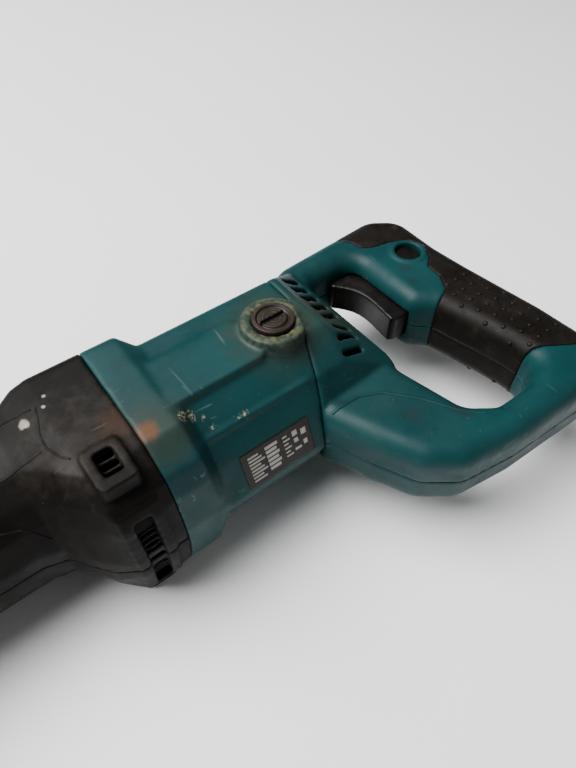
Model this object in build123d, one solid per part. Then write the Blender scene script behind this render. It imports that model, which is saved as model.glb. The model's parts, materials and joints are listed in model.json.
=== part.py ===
from build123d import *
import math
import os

# Corded reciprocating saw, lying on its right side: +Z is the tool's left side, +X its rear,
# +Y its top. The origin is on the shoe's working face, where the motor axis meets it.
# All sizes are in millimetres.

# Driving dimensions
BRUSH_X = 312.0          # brush axis, measured back from the shoe's working face
SEAM_X = BRUSH_X - 74.0  # joint between the front cover and the motor housing
HOUSING_WALL = 3.0
LIP = 1.3
COVER_WALL = 2.6
HANDLE_WALL = 5.0
GRIP_SKIN = 2.2          # thickness of the soft grip moulding
HANDLE_HALF = 19.0       # half thickness of the handle
RUN = 0.05               # radial clearance of a running fit

# Motor
CORE_BORE = 19.2
STATOR_R = 34.4
ARMATURE_R = 18.5
SHAFT_R = 5.0
COMMUTATOR_R = 12.0
FAN_R = 34.0

# Drive: bevel pair, crank and yoke
MODULE = 1.6
PINION_TEETH = 9
GEAR_TEETH = 36
PRESSURE = math.radians(25)
ADDENDUM = 0.8 * MODULE
DEDENDUM = 1.0 * MODULE
BACKLASH = 0.34
FACE_WIDTH = 8.0
PINION_R = MODULE * PINION_TEETH / 2
GEAR_R = MODULE * GEAR_TEETH / 2
GEAR_X = 174.0           # crank gear axis
CRANK_R = 14.0           # half of the 28 mm stroke
ROLLER_R = 5.0
YOKE_CLEARANCE = 3.2
PIN_R = 3.5
AXLE_R = 5.0
GEAR_TOP = 13.5
HUB_LOW = -10.5
CASE_BOTTOM = -13.3
CASE_TOP = 32.0
YOKE_Y = (17.0, 27.0)
PLUNGER_Y = 22.0
PLUNGER_R = 7.5

# Handle outline and grip opening, from the brush axis
HANDLE_OUTLINE = [
    (-2, 39), (20, 41), (44, 55.5), (112, 60), (128.5, 48), (127.3, 16), (129, -6), (134, -50),
    (135.2, -82), (122, -99.5), (62, -96.2), (33, -91.5), (18, -80), (8, -60), (-2, -36),
]
GRIP_OPENING = [
    (43.5, 24), (52, 37.5), (82, 37.5), (82, -8), (92, -18), (97, -40), (101, -60), (101, -72),
    (88, -79), (66, -78), (54, -69), (47, -38),
]
GRIP_ZONE = [
    (85, 80), (85, 53), (89.5, 46), (90, 40), (96, 36.2), (107, 34), (116, 29), (120, 20), (115, 11),
    (108.5, 6), (107.5, -4), (102, -13), (88, -19), (80, -19), (80, -68), (97, -65), (105, -67),
    (122, -78), (160, -86), (160, 80),
]
HANDLE_SCREWS = [(24, -62), (46, -86.5), (112, -89), (114, 47), (64, 47)]
OUTLINE_CORNER = 16.0
OPENING_CORNER = 10.0
RIM = 9.0
LOCK_XY = (108.4, 21.1)
LOCK_WELL_R = 7.3

# Sections: corner points (y, z) of the left half, from the top to the bottom
MOTOR_SECTION = [(40, 22), (27, 42.5), (-10, 41), (-25.5, 30.5), (-32.5, 20.5), (-40.3, 1.6)]
BAND_SECTION = [(46, 30), (34, 46), (-20, 43), (-33, 34.5), (-37.5, 25), (-41.2, 5)]
BELL_SECTION = [(54, 12), (47, 18.5), (-28, 18.5), (-33, 16.5), (-36.5, 12), (-38, 5)]
BARREL_SECTION = [(37.5, 24), (29, 36.5), (3, 36.5), (-7, 28), (-13, 20), (-17.5, 8)]
FRONT_SECTION = [(40, 24), (32, 37), (-12, 37), (-25, 31), (-31.5, 21), (-35.5, 8)]
COVER_SECTIONS = [
    (SEAM_X, BAND_SECTION),
    (SEAM_X - 23, BAND_SECTION),
    (SEAM_X - 30, [(45, 29), (33, 45), (-12, 42), (-24, 33), (-30, 25), (-36.5, 8)]),
    (SEAM_X - 36, [(42, 27), (31, 42.5), (-4, 39.5), (-16, 30.5), (-22, 23), (-29, 8)]),
    (SEAM_X - 42, [(39.5, 25.5), (30, 39), (1, 38), (-9, 29), (-14.5, 21.5), (-20.5, 8)]),
    (SEAM_X - 52, BARREL_SECTION),
    (SEAM_X - 99, BARREL_SECTION),
    (SEAM_X - 114, [(36, 20), (28, 30), (2, 30), (-6.5, 24.5), (-13, 18), (-17, 8)]),
    (SEAM_X - 138, [(36, 19), (28, 28.5), (0, 28.5), (-7.5, 23.5), (-13.5, 17), (-17.5, 8)]),
    (SEAM_X - 156, [(38, 22), (30, 34), (-9, 34), (-19, 28), (-24.5, 20), (-28.5, 8)]),
    (SEAM_X - 168, FRONT_SECTION),
]
FRONT_X = COVER_SECTIONS[-1][0]

# Shoe
FOOT_THICKNESS = 3.0
SHOE_PIVOT = (14.0, -8.0)
SHOE_BAR_END = 116.0
SHOE_BUTTON_X = 100.0
SHOE_BUTTON_Y = 1.5


def box(x, y, z):
    """Box between the two values of each of x, y and z."""
    centre = Pos((x[0] + x[1]) / 2, (y[0] + y[1]) / 2, (z[0] + z[1]) / 2)
    return centre * Box(x[1] - x[0], y[1] - y[0], z[1] - z[0])


def rod_x(radius, x, y=0.0, z=0.0):
    return Pos((x[0] + x[1]) / 2, y, z) * Rot(0, 90, 0) * Cylinder(radius, x[1] - x[0])


def rod_y(radius, y, x=0.0, z=0.0):
    return Pos(x, (y[0] + y[1]) / 2, z) * Rot(90, 0, 0) * Cylinder(radius, y[1] - y[0])


def rod_z(radius, z, x=0.0, y=0.0):
    return Pos(x, y, (z[0] + z[1]) / 2) * Cylinder(radius, z[1] - z[0])


def tube_x(outer, inner, x, y=0.0, z=0.0):
    return rod_x(outer, x, y, z) - rod_x(inner, (x[0] - 1, x[1] + 1), y, z)


def prism(points, z, corner=0.0):
    """Polygon in X and Y with rounded corners, extruded between the two values of z."""
    face = Polygon(*points, align=None)
    if corner:
        face = fillet(face.vertices(), corner)
    return extrude(Pos(0, 0, z[0]) * face, z[1] - z[0])


def from_brush(points):
    return [(BRUSH_X + x, y) for x, y in points]


def left_half(solid):
    return solid & box((-200, 500), (-200, 200), (0, 100))


def mirrored(solid):
    return mirror(solid, about=Plane.XY)


# ---------------------------------------------------------------- motor housing

def section(x, points, inset=0.0, corner=6.0):
    """Ten-sided section at station x from the corners of its left half."""
    whole = points + [(y, -z) for y, z in reversed(points)]
    face = Polygon(*whole, align=None)
    if inset:
        face = offset(face, -inset, kind=Kind.INTERSECTION)
    face = fillet(face.vertices(), corner)
    return Plane.YZ.offset(x) * face


def seam_tool():
    """Everything behind the slanted joint between motor housing and handle."""
    return prism(from_brush([(16, 90), (16.5, 12), (-4, -48), (-4, -120), (200, -120), (200, 90)]), (-90, 90))


def motor_form():
    barrel = loft([section(BRUSH_X - 57, MOTOR_SECTION), section(BRUSH_X + 20, MOTOR_SECTION)], ruled=True)
    step = loft([section(BRUSH_X - 58.5, BAND_SECTION), section(BRUSH_X - 52, MOTOR_SECTION)], ruled=True)
    band = loft([section(SEAM_X, BAND_SECTION), section(BRUSH_X - 58.5, BAND_SECTION)], ruled=True)
    form = barrel + step + band
    pad = box((BRUSH_X - 64, BRUSH_X - 10), (-11.5, 14.5), (38, 43.4))
    pad = fillet(pad.edges().filter_by(Axis.Z), 5)
    bead = rod_x(1.8, (BRUSH_X - 52, BRUSH_X), -24.3, 30.1)
    for part in (pad, bead):
        form += part + mirrored(part)
    return form


def motor_housing():
    form = motor_form()
    for side in (1, -1):
        form += rod_z(14.5, sorted((30 * side, 47 * side)), BRUSH_X)
    form -= seam_tool()
    form -= rod_x(STATOR_R + 0.2, (SEAM_X - 1, BRUSH_X - 10))
    form -= rod_x(STATOR_R - 2, (BRUSH_X - 11, BRUSH_X + 6))
    form -= box((BRUSH_X + 5, BRUSH_X + 30), (-60, -19), (-26, 26))
    form -= rod_x(19, (BRUSH_X + 5, BRUSH_X + 30))
    spider = rod_x(15.5, (BRUSH_X + 6, BRUSH_X + 16))
    spider += box((BRUSH_X + 6, BRUSH_X + 12), (-36, 37), (-4, 4)) - seam_tool()
    form += spider - rod_x(12.8, (BRUSH_X + 7.5, BRUSH_X + 17)) - rod_x(7, (BRUSH_X, BRUSH_X + 20))
    for side in (1, -1):
        form += rod_z(8.6, sorted((16 * side, 45 * side)), BRUSH_X)
        form -= box((BRUSH_X - 4.1, BRUSH_X + 4.1), (-5.1, 5.1), sorted((12 * side, 44.2 * side)))
        form -= rod_z(9.6, sorted((44.2 * side, 60 * side)), BRUSH_X)
    return form


def brush_parts():
    holder = box((BRUSH_X - 4.1, BRUSH_X + 4.1), (-5.1, 5.1), (15, 44.2))
    holder -= box((BRUSH_X - 3.2, BRUSH_X + 3.2), (-4.2, 4.2), (14, 45))
    brush = box((BRUSH_X - 3.1, BRUSH_X + 3.1), (-4.1, 4.1), (COMMUTATOR_R + 0.15, 29))
    brush -= rod_x(COMMUTATOR_R + 0.2, (BRUSH_X - 4, BRUSH_X + 4))
    spring = rod_z(2.8, (29, 42), BRUSH_X) - rod_z(1.8, (28, 43), BRUSH_X)
    cap = rod_z(9.3, (44.4, 48.5), BRUSH_X) + box((BRUSH_X - 3, BRUSH_X + 3), (-4, 4), (42, 44.6))
    cap -= rod_z(7.4, (47.6, 50), BRUSH_X) - rod_z(6.2, (47, 51), BRUSH_X)
    cap -= box((BRUSH_X - 6.4, BRUSH_X + 6.4), (-1.1, 1.1), (46.4, 50))
    return {"brush_holder": holder, "carbon_brush": brush, "brush_spring": spring, "brush_cap": cap}


def nameplate():
    """Blank rating plate on the lower left slope of the motor housing."""
    upper, lower = MOTOR_SECTION[-2:]
    slope = math.atan2(upper[1] - lower[1], upper[0] - lower[0])
    middle = ((lower[0] + upper[0]) / 2, (lower[1] + upper[1]) / 2)
    place = Pos(BRUSH_X - 25, middle[0], middle[1]) * Rot(math.degrees(slope), 0, 0)
    return place * Box(35, 17.5, 1.0)


# ---------------------------------------------------------------- motor inside

def stator():
    """Field core: a ring with a pole above and below the armature."""
    x = (BRUSH_X - 68, BRUSH_X - 22)
    core = tube_x(STATOR_R, 30, x)
    shoe = rod_x(23, x) & box(x, (8, 30), (-14.5, 14.5))
    for turn in (0, 180):
        core += Rot(turn, 0, 0) * (box(x, (20, 31), (-8.5, 8.5)) + shoe)
    return core - rod_x(CORE_BORE, (BRUSH_X - 70, BRUSH_X - 20))


def field_coils():
    coil = box((BRUSH_X - 72, BRUSH_X - 18), (23.2, 26.3), (-13.5, 13.5))
    coil -= box((BRUSH_X - 68.2, BRUSH_X - 21.8), (20, 30), (-8.7, 8.7))
    return Compound(children=[coil, Rot(180, 0, 0) * coil])


def armature_core():
    core = rod_x(ARMATURE_R, (BRUSH_X - 66, BRUSH_X - 24)) - rod_x(SHAFT_R, (BRUSH_X - 70, BRUSH_X))
    slots = 12
    for index in range(slots):
        slot = box((BRUSH_X - 70, BRUSH_X - 20), (13.5, 22), (-1.1, 1.1))
        core -= Rot(index * 360 / slots, 0, 0) * slot
    return core


def armature_windings():
    front = tube_x(16.5, SHAFT_R, (BRUSH_X - 72, BRUSH_X - 66))
    rear = tube_x(16, SHAFT_R, (BRUSH_X - 24, BRUSH_X - 14))
    return Compound(children=[front, rear])


def commutator():
    drum = tube_x(COMMUTATOR_R, SHAFT_R, (BRUSH_X - 12, BRUSH_X + 5))
    bars = 24
    for index in range(bars):
        cut = box((BRUSH_X - 9, BRUSH_X + 8), (COMMUTATOR_R - 0.9, COMMUTATOR_R + 1), (-0.2, 0.2))
        drum -= Rot((index + 0.5) * 360 / bars, 0, 0) * cut
    return drum


def fan():
    hub = tube_x(10, SHAFT_R, (SEAM_X - 20, SEAM_X - 4))
    plate = tube_x(FAN_R, SHAFT_R, (SEAM_X - 20, SEAM_X - 18))
    blades = 11
    wheel = hub + plate
    for index in range(blades):
        blade = box((SEAM_X - 19, SEAM_X - 6), (9, FAN_R - 0.5), (-0.9, 0.9))
        wheel += Rot(index * 360 / blades, 0, 0) * blade
    return wheel


def bearing(x, outer, inner):
    """Deep-groove bearing as one closed solid: two races with shields between them."""
    ring = tube_x(outer, inner, x)
    groove = tube_x(outer - 2.2, inner + 2.2, (x[1] - 0.6, x[1] + 1))
    return ring - groove


def armature_shaft():
    shaft = rod_x(SHAFT_R, (BRUSH_X - 106, BRUSH_X + 6))
    shaft += rod_x(4.0, (BRUSH_X + 6, BRUSH_X + 15.5))
    shaft += rod_x(3.0, (GEAR_X + GEAR_R - FACE_WIDTH, BRUSH_X - 106))
    return shaft


def baffle():
    ring = tube_x(FAN_R + 1.5, 22, (SEAM_X - 3, SEAM_X - 1))
    return ring + tube_x(23.5, 22, (SEAM_X - 3, SEAM_X + 1))


# ---------------------------------------------------------------- bevel pair and crank

def involute_tooth_angles(radius):
    """Half tooth angle of the pinion at the given radius."""
    base = PINION_R * math.cos(PRESSURE)
    pitch_half = math.pi / (2 * PINION_TEETH) - BACKLASH / (4 * PINION_R)
    if radius <= base:
        spread = math.tan(PRESSURE) - PRESSURE
    else:
        alpha = math.acos(base / radius)
        spread = (math.tan(PRESSURE) - PRESSURE) - (math.tan(alpha) - alpha)
    return pitch_half + spread


def pinion_points():
    root = PINION_R - DEDENDUM
    tip = PINION_R + ADDENDUM
    steps = 4
    radii = [root + (tip - root) * step / steps for step in range(steps + 1)]
    points = []
    for tooth in range(PINION_TEETH):
        centre = tooth * 2 * math.pi / PINION_TEETH
        flank = [(r, centre - involute_tooth_angles(r)) for r in radii]
        flank += [(r, centre + involute_tooth_angles(r)) for r in reversed(radii)]
        points += [(r * math.cos(a), r * math.sin(a)) for r, a in flank]
    return points


def pinion():
    cone = math.hypot(GEAR_R, PINION_R)
    shrink = (cone - FACE_WIDTH) / cone
    points = pinion_points()
    small = [(y * shrink, z * shrink) for y, z in points]
    large_end = Plane.YZ.offset(GEAR_X + GEAR_R) * Polygon(*points, align=None)
    small_end = Plane.YZ.offset(GEAR_X + GEAR_R * shrink) * Polygon(*small, align=None)
    gear = loft([small_end, large_end], ruled=True)
    gear += rod_x(PINION_R, (GEAR_X + GEAR_R, BRUSH_X - 106))
    return gear - rod_x(3.0, (GEAR_X, BRUSH_X - 100))


def gear_tooth():
    """One tooth of the crank gear, narrowing towards the axes' meeting point."""
    half = math.pi * MODULE / 4 - BACKLASH / 4
    slant = math.tan(PRESSURE)
    cone = math.hypot(GEAR_R, PINION_R)
    faces = []
    for scale in ((cone - FACE_WIDTH) / cone, 1.0):
        tip = (half - ADDENDUM * slant) * scale
        foot = (half + DEDENDUM * slant) * scale
        crest = (PINION_R - ADDENDUM) * scale
        base = (PINION_R + DEDENDUM) * scale + 0.4
        points = [(base, -foot), (crest, -tip), (crest, tip), (base, foot)]
        faces.append(Plane.YZ.offset(GEAR_R * scale) * Polygon(*points, align=None))
    return loft(faces, ruled=True)


def crank_gear():
    cone = math.hypot(GEAR_R, PINION_R)
    shrink = (cone - FACE_WIDTH) / cone
    root = PINION_R + DEDENDUM
    bore = AXLE_R + RUN
    profile = [(bore, GEAR_TOP), (GEAR_R, GEAR_TOP), (GEAR_R, root), (GEAR_R * shrink, root * shrink),
               (9, root * shrink), (9, HUB_LOW), (bore, HUB_LOW)]
    body = revolve(Plane.XY * Polygon(*profile, align=None), Axis.Y)
    tooth = gear_tooth()
    for index in range(GEAR_TEETH):
        body += Rot(0, (index + 0.5) * 360 / GEAR_TEETH, 0) * tooth
    lightening = rod_y(5, (0, 20), 0, -16)
    body -= rod_y(PIN_R, (0, 20), 0, CRANK_R)
    return Pos(GEAR_X, 0, 0) * (body - lightening)


def crank_pin():
    return rod_y(PIN_R, (root_face_y(), YOKE_Y[1] - 0.5), GEAR_X, CRANK_R)


def root_face_y():
    """Height of the crank gear's web on its toothed side."""
    cone = math.hypot(GEAR_R, PINION_R)
    return (PINION_R + DEDENDUM) * (cone - FACE_WIDTH) / cone


def crank_roller():
    ring = rod_y(ROLLER_R, (YOKE_Y[0], YOKE_Y[1] - 1), GEAR_X, CRANK_R)
    return ring - rod_y(PIN_R, (0, 40), GEAR_X, CRANK_R)


def gear_axle():
    """Fixed axle, with a collar that keeps the gear down."""
    collar = rod_y(7, (GEAR_TOP + 0.1, GEAR_TOP + 0.7), GEAR_X)
    return rod_y(AXLE_R, (CASE_BOTTOM, GEAR_TOP + 0.1), GEAR_X) + collar


def plunger():
    """Rod with the slotted yoke that the crank roller drives."""
    slot_half = ROLLER_R + YOKE_CLEARANCE
    yoke = box((GEAR_X - slot_half - 4.5, GEAR_X + slot_half + 4.5), YOKE_Y, (-24, 24))
    slot = box((GEAR_X - slot_half, GEAR_X + slot_half), (0, 40), (-20, 20))
    slot = fillet(slot.edges().filter_by(Axis.Y), 6)
    rod = rod_x(PLUNGER_R, (66, GEAR_X - slot_half - 2), PLUNGER_Y)
    return yoke - slot + rod


# ---------------------------------------------------------------- gear housing and front cover

def gear_housing():
    chamber_x = (GEAR_X - 33, GEAR_X + 32)
    outer = [(CASE_TOP, 24.5), (27.5, 32.8), (4.5, 32.8), (-5.5, 24), (CASE_BOTTOM, 11.5)]
    inner = [(CASE_TOP + 6, 22), (31, 22.2), (26.3, 30.3), (4, 30.3)]
    body = x_prism(outer, chamber_x)
    nose = box((83, GEAR_X - 32), (CASE_BOTTOM, CASE_TOP), (-12.5, 12.5))
    body += fillet(nose.edges().filter_by(Axis.X), 4)
    body += rod_x(33, (GEAR_X + 37, GEAR_X + 40)) + rod_x(17.5, (GEAR_X + 31, GEAR_X + 42))
    body -= x_prism(inner, (GEAR_X - 30, GEAR_X + 29.5))
    body -= rod_y(10.5, (HUB_LOW - 0.5, 5), GEAR_X)
    body -= rod_x(14, (GEAR_X + 33, GEAR_X + 50))
    body -= rod_x(9.5, (GEAR_X + 20, GEAR_X + 50))
    body -= rod_y(AXLE_R, (-30, 0), GEAR_X)
    body -= rod_x(PLUNGER_R + 2, (60, GEAR_X - 20), PLUNGER_Y)
    body -= box((70, GEAR_X - 33), (-10.3, -5.7), (-9.4, 9.4))
    body -= rod_z(4.9, (12.4, 40), SHOE_BUTTON_X, SHOE_BUTTON_Y)
    body -= rod_z(2.8, (0, 40), SHOE_BUTTON_X, SHOE_BUTTON_Y)
    return body - gear_cover_screws()


def x_prism(points, x):
    """Section with the given left-half corners, extruded between the two values of x."""
    whole = points + [(y, -z) for y, z in reversed(points)]
    face = Plane.YZ.offset(x[0]) * Polygon(*whole, align=None)
    return extrude(face, x[1] - x[0], dir=(1, 0, 0))


def gear_cover():
    plate = box((GEAR_X - 33, GEAR_X + 32), (CASE_TOP, CASE_TOP + 2), (-23, 23))
    plate = fillet(plate.edges().filter_by(Axis.Y), 3)
    return plate - gear_cover_screws()


def gear_cover_screws():
    screws = []
    top = CASE_TOP + 2
    for x in (GEAR_X - 31.4, GEAR_X + 30.7):
        for z in (-14, 14):
            screws.append(rod_y(1.2, (top - 12, top), x, z) + rod_y(2.4, (top - 1.2, top), x, z))
    return Compound(children=screws)


def bushing(x):
    return tube_x(PLUNGER_R + 2, PLUNGER_R + RUN, x, PLUNGER_Y)


def cover_form(inset=0.0):
    """Left half of the front cover's outer form, drawn in by the inset."""
    sections = [section(x, points, inset, 6.0 - inset) for x, points in COVER_SECTIONS]
    spans = [left_half(loft([a, b], ruled=True)) for a, b in zip(sections, sections[1:])]
    form = spans[0]
    for span in spans[1:]:
        form += span
    return form


def front_cover():
    """Left half of the front cover, with a louvred air window in its side and one underneath."""
    shell = cover_form()
    side = box((SEAM_X - 22, SEAM_X - 6.3), (-31.2, -10.6), (38, 45.2))
    shell += fillet(side.edges().filter_by(Axis.Z), 3)
    lip = extrude(section(SEAM_X - 22, BAND_SECTION, -LIP), 16.4, dir=(1, 0, 0))
    shell += lip & box((0, 400), (-60, -20), (0, 31.5))
    shell -= cover_form(COVER_WALL)
    shell -= box((SEAM_X - 17.8, SEAM_X - 10), (-26, -14.5), (34, 60))
    shell -= box((SEAM_X - 17.5, SEAM_X - 10), (-60, -30), (-3, 26.5))
    for index in range(2):
        y = -22.6 + 4.2 * index
        shell += box((SEAM_X - 18.5, SEAM_X - 9.5), (y, y + 1.3), (40, 42.4))
    skin = left_half(extrude(section(SEAM_X - 22, BAND_SECTION, 0.8), 20, dir=(1, 0, 0)))
    for index in range(6):
        z = 1.2 + 3.1 * index
        shell += box((SEAM_X - 18, SEAM_X - 9.5), (-40.3, -36.3), (z, z + 1.2)) & skin
    shell += left_half(extrude(section(FRONT_X, FRONT_SECTION), COVER_WALL, dir=(1, 0, 0)))
    shell -= box((FRONT_X - 5, FRONT_X + 8), (9, 35), (-14, 14))
    shell -= box((FRONT_X - 5, FRONT_X + 8), (-11, -5), (-10, 10))
    return shell


# ---------------------------------------------------------------- handle

def rounded_outline(points, grow, corner):
    """Outline moved outwards by grow, with its corners rounded."""
    face = Polygon(*from_brush(points), align=None)
    if grow:
        face = offset(face, grow, kind=Kind.INTERSECTION)
    return fillet(face.vertices(), corner)


def handle_form(inset, rim):
    """Left half of the handle loop: the outline less the grip opening, with a rounded outer rim."""
    face = rounded_outline(HANDLE_OUTLINE, -inset, OUTLINE_CORNER - inset)
    face -= rounded_outline(GRIP_OPENING, inset, OPENING_CORNER)
    solid = extrude(face, HANDLE_HALF - inset, dir=(0, 0, 1))
    if not rim:
        return solid
    return fillet(solid.edges().group_by(Axis.Z)[-1], rim)


def bell_form(inset):
    """Rear of the motor section, drawn in to the handle's thickness."""
    corner = 6.0 - inset
    front = section(BRUSH_X - 6, MOTOR_SECTION, inset, corner)
    middle = section(BRUSH_X + 20, MOTOR_SECTION, inset, corner)
    rear = section(BRUSH_X + 46, BELL_SECTION, inset, corner - 2.5)
    return loft([front, middle], ruled=True) + loft([middle, rear], ruled=True)


def vent_cutters():
    """Slanted cooling slots at the rear of the motor section."""
    cuts = []
    for index in range(5):
        y = 30 - 7.5 * index
        slot = box((-8, 8), (-1.6, 1.6), (14, 50))
        cuts.append(Pos(BRUSH_X + 33, y, 0) * Rot(0, 0, 24) * slot)
    for index in range(3):
        y = -10 - 6.5 * index
        slot = box((-6, 6), (-1.3, 1.3), (14, 50))
        cuts.append(Pos(BRUSH_X + 31 - 2 * index, y, 0) * slot)
    return cuts


def handle_side(is_left):
    """One handle half and its soft grip moulding, drawn on the left of the parting plane."""
    skin = handle_form(0, RIM) & seam_tool()
    zone = prism(from_brush(GRIP_ZONE), (-1, 60))
    grip = (skin & zone) - handle_form(GRIP_SKIN, RIM - GRIP_SKIN)
    body = skin - grip
    body += left_half(bell_form(0)) & seam_tool()
    lock = (BRUSH_X + LOCK_XY[0], LOCK_XY[1])
    if is_left:
        body += rod_z(9.8, (10, HANDLE_HALF + 1), *lock)
    body -= handle_form(HANDLE_WALL, 0)
    body -= left_half(bell_form(HOUSING_WALL))
    trigger_slot = box((BRUSH_X + 75, BRUSH_X + 101.5), (-7, 37), (-1, 8.7))
    body -= trigger_slot
    grip -= trigger_slot
    for cut in vent_cutters():
        body -= cut
    body -= inlet_bore()
    if is_left:
        body -= rod_z(LOCK_WELL_R, (10, 40), *lock)
        grip -= rod_z(9.8, (10, 40), *lock)
    for x, y in from_brush(HANDLE_SCREWS):
        body += rod_z(5.4, (0, HANDLE_HALF - HANDLE_WALL + 1), x, y)
        if is_left:
            body -= rod_z(2.0, (-1, 10), x, y)
        else:
            body -= rod_z(2.0, (-1, 15), x, y)
            body -= rod_z(3.8, (14.5, 30), x, y)
            grip -= rod_z(3.8, (14.5, 30), x, y)
    return body, grip


def air_divider():
    """Thin wall on the parting plane behind the cooling slots."""
    return box((BRUSH_X + 25, BRUSH_X + 41), (-25, 42), (-1.5, 1.5)) & bell_form(HOUSING_WALL)


def inlet_bore():
    """Mouth for the mains cord at the grip's lower rear corner."""
    return Pos(BRUSH_X + 128, -92, 0) * Rot(0, 90, 0) * Rot(45, 0, 0) * Cylinder(6.0, 50)


def handle_screws():
    """Screws put in from the right side."""
    screws = []
    for x, y in from_brush(HANDLE_SCREWS):
        screws.append(rod_z(2.0, (-16.5, 10), x, y) + rod_z(3.8, (-18, -14.5), x, y))
    return Compound(children=screws)


# ---------------------------------------------------------------- controls

def trigger():
    front = Spline(*from_brush([(62, 36.2), (67, 31), (73, 21), (73.8, 8), (72.5, -4.5)]))
    back = Polyline(*from_brush([(72.5, -4.5), (75, -6.3), (93, -6.3), (93, 36.2), (62, 36.2)]))
    body = extrude(Pos(0, 0, -8.3) * make_face(front + back), 16.6, dir=(0, 0, 1))
    rims = body.edges().filter_by(Axis.Z).group_by(Axis.X)[0]
    return fillet(rims, 2)


def switch_body():
    case = box((BRUSH_X + 101.5, BRUSH_X + 121.5), (-10, 28), (-7, 7))
    return fillet(case.edges().filter_by(Axis.Y), 1)


def lock_button():
    x = BRUSH_X + LOCK_XY[0]
    cap = fillet(rod_z(6.9, (13.5, 17.2), x, LOCK_XY[1]).edges().group_by(Axis.Z)[-1], 0.8)
    return cap + rod_z(2.4, (11, 13.5), x, LOCK_XY[1])


def lock_spring():
    x = BRUSH_X + LOCK_XY[0]
    return rod_z(4.6, (7.2, 13.3), x, LOCK_XY[1]) - rod_z(3.6, (6, 15), x, LOCK_XY[1])


# ---------------------------------------------------------------- blade clamp, blade and shoe

def blade_clamp():
    body = rod_x(8.0, (44, 68), PLUNGER_Y) + rod_x(9.6, (62, 66), PLUNGER_Y)
    body -= box((40, 60), (PLUNGER_Y - 6.6, PLUNGER_Y + 6.6), (-0.75, 0.75))
    body -= rod_x(PLUNGER_R, (66, 90), PLUNGER_Y)
    body -= rod_z(2.5, (-20, 20), 53, PLUNGER_Y)
    return body


def clamp_sleeve():
    sleeve = tube_x(11.2, 8.0 + RUN, (45, 61.7), PLUNGER_Y)
    sleeve = fillet(sleeve.edges().filter_by(GeomType.CIRCLE).sort_by(Axis.X)[0], 0.8)
    ribs = 12
    for index in range(ribs):
        groove = rod_x(0.9, (44, 58), PLUNGER_Y + 11.6)
        turned = Pos(0, PLUNGER_Y, 0) * Rot(index * 360 / ribs, 0, 0) * Pos(0, -PLUNGER_Y, 0) * groove
        sleeve -= turned
    return sleeve


def blade():
    tang = box((43, 59.5), (PLUNGER_Y - 6.4, PLUNGER_Y + 6.4), (-0.62, 0.62))
    tang -= rod_z(2.6, (-5, 5), 53, PLUNGER_Y)
    low = PLUNGER_Y - 9.5
    teeth = 48
    pitch = 2.54
    start = 36.0
    points = [(43.5, PLUNGER_Y + 6.4), (43.5, PLUNGER_Y - 6.4), (start, low + 1)]
    for index in range(teeth):
        x = start - index * pitch
        points.append((x - 0.35 * pitch, low))
        points.append((x - pitch, low + 1.3))
    tip = start - teeth * pitch
    points += [(tip - 5, low + 3), (tip - 9, PLUNGER_Y + 9.5), (start, PLUNGER_Y + 9.5)]
    return tang + prism(points, (-0.62, 0.62))


def shoe_bar():
    bar = box((SHOE_PIVOT[0], SHOE_BAR_END), (-10, -6), (-9, 9))
    bar += rod_z(5.5, (-9, 9), SHOE_PIVOT[0], SHOE_PIVOT[1])
    for index in range(4):
        bar -= rod_z(1.6, (-12, 12), SHOE_BUTTON_X - 14 + 9 * index, -10.6)
    return bar - rod_z(2.5 + RUN, (-12, 12), SHOE_PIVOT[0], SHOE_PIVOT[1])


def shoe_foot():
    plate = box((0, FOOT_THICKNESS), (-22, 43), (-21, 21))
    plate = fillet(plate.edges().filter_by(Axis.X), 9)
    window = box((-2, 9), (9, 37.5), (-13, 13))
    plate -= fillet(window.edges().filter_by(Axis.X), 5)
    for side in (1, -1):
        ear = box((1, SHOE_PIVOT[0]), (-14, -2), sorted((9.6 * side, 12.6 * side)))
        ear += rod_z(6, sorted((9.6 * side, 12.6 * side)), SHOE_PIVOT[0], SHOE_PIVOT[1])
        plate += ear
    return plate - rod_z(2.5, (-20, 20), SHOE_PIVOT[0], SHOE_PIVOT[1])


def shoe_pivot_pin():
    return rod_z(2.5, (-12.6, 12.6), SHOE_PIVOT[0], SHOE_PIVOT[1]) + rod_z(3.6, (12.6, 13.6), *SHOE_PIVOT)


def shoe_button():
    stem = rod_z(2.4, (3.5, 20), SHOE_BUTTON_X, SHOE_BUTTON_Y)
    return stem + rod_z(4.6, (20, 31), SHOE_BUTTON_X, SHOE_BUTTON_Y)


def shoe_button_spring():
    ring = rod_z(4.2, (12.7, 19.8), SHOE_BUTTON_X, SHOE_BUTTON_Y)
    return ring - rod_z(3.2, (10, 25), SHOE_BUTTON_X, SHOE_BUTTON_Y)


# ---------------------------------------------------------------- all nodes

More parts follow.
